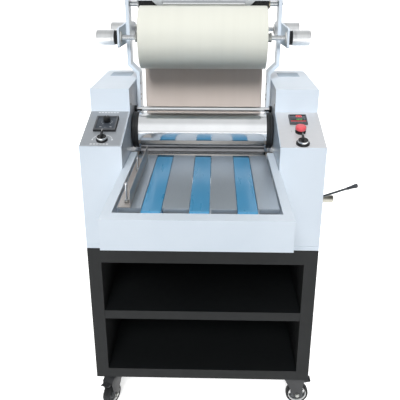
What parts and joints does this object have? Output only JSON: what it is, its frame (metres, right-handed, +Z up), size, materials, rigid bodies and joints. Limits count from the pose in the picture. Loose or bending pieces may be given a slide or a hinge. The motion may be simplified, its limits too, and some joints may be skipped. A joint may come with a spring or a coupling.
{
  "type": "roll laminator",
  "caption": "Free-standing roll laminator with a projecting belt-feed table, heated and pressure rollers, overhead film roll and open cabinet on casters.",
  "frame": {"origin": "centre of the bounding box at floor level, where the caster wheels stand", "axes": "+X to the operator's right, +Y away from the operator towards the output side, +Z up"},
  "size_m": [0.7584, 0.8595, 1.1955],
  "materials": {
    "pale_blue_paint": "semi-gloss powder coat",
    "black_cabinet_paint": "fine textured matt powder coat",
    "grey_panel": "satin",
    "light_panel": "satin",
    "chrome": "polished",
    "brushed_steel": "brushed",
    "aluminium": "turned, satin",
    "dark_steel": "dark zinc",
    "black_plastic": "satin",
    "black_rubber": "matt",
    "grey_silicone": "matt",
    "belt_blue": "glossy",
    "button_red": "gloss",
    "film_cream": "satin",
    "film_beige": "satin, translucent"
  },
  "bodies": {
    "machine": {"cabinet": "black_cabinet_paint", "base_plate": "pale_blue_paint", "left_housing": "pale_blue_paint", "right_housing": "pale_blue_paint", "left_panel": "grey_panel", "right_panel": "light_panel", "left_side_frame": "brushed_steel", "right_side_frame": "brushed_steel", "drive_motor": "dark_steel", "speed_controller": "black_plastic", "left_selector_base": "chrome", "temperature_controller": "black_plastic", "stop_button_base": "black_plastic", "right_selector_base": "chrome", "table_frame": "pale_blue_paint", "bed_strips": "brushed_steel", "feed_belt_left": "belt_blue", "feed_belt_middle": "belt_blue", "feed_belt_right": "belt_blue", "nip_guide": "brushed_steel", "upper_guide_bar": "chrome", "lower_guide_bar": "chrome", "left_upright": "pale_blue_paint", "right_upright": "pale_blue_paint", "left_shaft_bracket": "pale_blue_paint", "right_shaft_bracket": "pale_blue_paint", "film_web": "film_beige", "top_crossbar": "brushed_steel"},
    "heated_roller": {"heated_roller": "chrome"},
    "pressure_carriage": {"left_pressure_block": "brushed_steel", "right_pressure_block": "brushed_steel"},
    "pressure_roller": {"pressure_roller": "grey_silicone"},
    "pressure_lever": {"pressure_lever": "brushed_steel"},
    "front_belt_shaft": {"front_belt_shaft": "brushed_steel"},
    "rear_belt_shaft": {"rear_belt_shaft": "brushed_steel"},
    "supply_spindle": {"supply_shaft": "brushed_steel", "film_roll": "film_cream"},
    "supply_knob_left": {"supply_knob_left": "aluminium"},
    "supply_knob_right": {"supply_knob_right": "aluminium"},
    "rewind_spindle": {"rewind_shaft": "brushed_steel"},
    "rewind_knob_left": {"rewind_knob_left": "aluminium"},
    "rewind_knob_right": {"rewind_knob_right": "aluminium"},
    "perforator": {"perforator_shaft": "black_rubber"},
    "side_guide": {"side_guide": "brushed_steel"},
    "guide_clamp_front": {"guide_clamp_front": "aluminium"},
    "guide_clamp_rear": {"guide_clamp_rear": "aluminium"},
    "left_selector": {"left_selector_handle": "black_plastic"},
    "right_selector": {"right_selector_handle": "black_plastic"},
    "speed_knob": {"speed_knob": "black_plastic"},
    "stop_button": {"stop_button": "button_red"},
    "caster_front_left": {"caster_fork_front_left": "dark_steel"},
    "wheel_front_left": {"caster_wheel_front_left": "black_rubber"},
    "pedal_front_left": {"caster_pedal_front_left": "black_plastic"},
    "caster_front_right": {"caster_fork_front_right": "dark_steel"},
    "wheel_front_right": {"caster_wheel_front_right": "black_rubber"},
    "pedal_front_right": {"caster_pedal_front_right": "black_plastic"},
    "caster_rear_left": {"caster_fork_rear_left": "dark_steel"},
    "wheel_rear_left": {"caster_wheel_rear_left": "black_rubber"},
    "caster_rear_right": {"caster_fork_rear_right": "dark_steel"},
    "wheel_rear_right": {"caster_wheel_rear_right": "black_rubber"}
  },
  "joints": [
    {"name": "heated_roller_spin", "type": "hinge", "parent": "machine", "child": "heated_roller", "pos_m": [-0.0685, 0.1151, 0.818], "axis": [1, 0, 0], "continuous": true},
    {"name": "pressure_lever_turn", "type": "hinge", "parent": "machine", "child": "pressure_lever", "pos_m": [0.271, 0.1081, 0.6105], "axis": [1, 0, 0], "range_deg": [0, 60]},
    {"name": "pressure_carriage_drop", "type": "slide", "parent": "machine", "child": "pressure_carriage", "axis": [0, 0, 1], "range_m": [-0.004, 0]},
    {"name": "pressure_roller_spin", "type": "hinge", "parent": "pressure_carriage", "child": "pressure_roller", "pos_m": [-0.0685, 0.1151, 0.7379], "axis": [1, 0, 0], "continuous": true},
    {"name": "front_belt_shaft_spin", "type": "hinge", "parent": "machine", "child": "front_belt_shaft", "pos_m": [-0.0685, -0.3539, 0.7467], "axis": [1, 0, 0], "continuous": true},
    {"name": "rear_belt_shaft_spin", "type": "hinge", "parent": "machine", "child": "rear_belt_shaft", "pos_m": [-0.0685, 0.0331, 0.7467], "axis": [1, 0, 0], "continuous": true},
    {"name": "supply_spindle_spin", "type": "hinge", "parent": "machine", "child": "supply_spindle", "pos_m": [-0.0685, 0.1651, 1.0715], "axis": [1, 0, 0], "continuous": true},
    {"name": "supply_knob_left_turn", "type": "hinge", "parent": "supply_spindle", "child": "supply_knob_left", "pos_m": [-0.3385, 0.1651, 1.0715], "axis": [1, 0, 0], "range_deg": [-360, 360]},
    {"name": "supply_knob_right_turn", "type": "hinge", "parent": "supply_spindle", "child": "supply_knob_right", "pos_m": [0.2015, 0.1651, 1.0715], "axis": [1, 0, 0], "range_deg": [-360, 360]},
    {"name": "rewind_spindle_spin", "type": "hinge", "parent": "machine", "child": "rewind_spindle", "pos_m": [-0.0685, 0.4081, 1.0715], "axis": [1, 0, 0], "continuous": true},
    {"name": "rewind_knob_left_turn", "type": "hinge", "parent": "rewind_spindle", "child": "rewind_knob_left", "pos_m": [-0.3385, 0.4081, 1.0715], "axis": [1, 0, 0], "range_deg": [-360, 360]},
    {"name": "rewind_knob_right_turn", "type": "hinge", "parent": "rewind_spindle", "child": "rewind_knob_right", "pos_m": [0.2015, 0.4081, 1.0715], "axis": [1, 0, 0], "range_deg": [-360, 360]},
    {"name": "perforator_spin", "type": "hinge", "parent": "machine", "child": "perforator", "pos_m": [-0.0685, 0.2261, 1.1585], "axis": [1, 0, 0], "continuous": true},
    {"name": "side_guide_slide", "type": "slide", "parent": "machine", "child": "side_guide", "axis": [1, 0, 0], "range_m": [0, 0.14]},
    {"name": "guide_clamp_front_turn", "type": "hinge", "parent": "side_guide", "child": "guide_clamp_front", "pos_m": [-0.229, -0.3119, 0.7836], "axis": [0, 0, 1], "range_deg": [-90, 90]},
    {"name": "guide_clamp_rear_turn", "type": "hinge", "parent": "side_guide", "child": "guide_clamp_rear", "pos_m": [-0.232, -0.0909, 0.7836], "axis": [0, 0, 1], "range_deg": [-90, 90]},
    {"name": "left_selector_turn", "type": "hinge", "parent": "machine", "child": "left_selector", "pos_m": [-0.324, -0.08291, 0.8553], "axis": [0, -0.2731, 0.962], "range_deg": [-45, 45]},
    {"name": "right_selector_turn", "type": "hinge", "parent": "machine", "child": "right_selector", "pos_m": [0.1916, -0.09272, 0.85252], "axis": [0, -0.2731, 0.962], "range_deg": [-45, 45]},
    {"name": "speed_knob_turn", "type": "hinge", "parent": "machine", "child": "speed_knob", "pos_m": [-0.3228, -0.00326, 0.87792], "axis": [0, -0.2731, 0.962], "range_deg": [-135, 135]},
    {"name": "stop_button_press", "type": "slide", "parent": "machine", "child": "stop_button", "axis": [0, 0.2731, -0.962], "range_m": [0, 0.003], "stiffness_N_per_m": 400, "springref_m": -0.003},
    {"name": "caster_swivel_front_left", "type": "hinge", "parent": "machine", "child": "caster_front_left", "pos_m": [-0.334, -0.0619, 0.102], "axis": [0, 0, 1], "continuous": true},
    {"name": "wheel_spin_front_left", "type": "hinge", "parent": "caster_front_left", "child": "wheel_front_left", "pos_m": [-0.34295, -0.082, 0.034], "axis": [0.9135, -0.4067, 0], "continuous": true},
    {"name": "pedal_press_front_left", "type": "hinge", "parent": "caster_front_left", "child": "pedal_front_left", "pos_m": [-0.34742, -0.09205, 0.085], "axis": [0.9135, -0.4067, 0], "range_deg": [0, 12]},
    {"name": "caster_swivel_front_right", "type": "hinge", "parent": "machine", "child": "caster_front_right", "pos_m": [0.206, -0.0619, 0.102], "axis": [0, 0, 1], "continuous": true},
    {"name": "wheel_spin_front_right", "type": "hinge", "parent": "caster_front_right", "child": "wheel_front_right", "pos_m": [0.228, -0.0619, 0.034], "axis": [0, 1, 0], "continuous": true},
    {"name": "pedal_press_front_right", "type": "hinge", "parent": "caster_front_right", "child": "pedal_front_right", "pos_m": [0.239, -0.0619, 0.085], "axis": [0, 1, 0], "range_deg": [0, 12]},
    {"name": "caster_swivel_rear_left", "type": "hinge", "parent": "machine", "child": "caster_rear_left", "pos_m": [-0.334, 0.3331, 0.102], "axis": [0, 0, 1], "continuous": true},
    {"name": "wheel_spin_rear_left", "type": "hinge", "parent": "caster_rear_left", "child": "wheel_rear_left", "pos_m": [-0.323, 0.35215, 0.034], "axis": [-0.866, 0.5, 0], "continuous": true},
    {"name": "caster_swivel_rear_right", "type": "hinge", "parent": "machine", "child": "caster_rear_right", "pos_m": [0.206, 0.3331, 0.102], "axis": [0, 0, 1], "continuous": true},
    {"name": "wheel_spin_rear_right", "type": "hinge", "parent": "caster_rear_right", "child": "wheel_rear_right", "pos_m": [0.1967, 0.35304, 0.034], "axis": [-0.9063, -0.4226, 0], "continuous": true}
  ],
  "couplings": [
    {"joint": "pressure_roller_spin", "follows": "heated_roller_spin", "ratio": -1.66},
    {"joint": "front_belt_shaft_spin", "follows": "heated_roller_spin", "ratio": -3.4345},
    {"joint": "rear_belt_shaft_spin", "follows": "heated_roller_spin", "ratio": -3.4345},
    {"joint": "pressure_carriage_drop", "follows": "pressure_lever_turn", "m_per_rad": -0.0038}
  ]
}
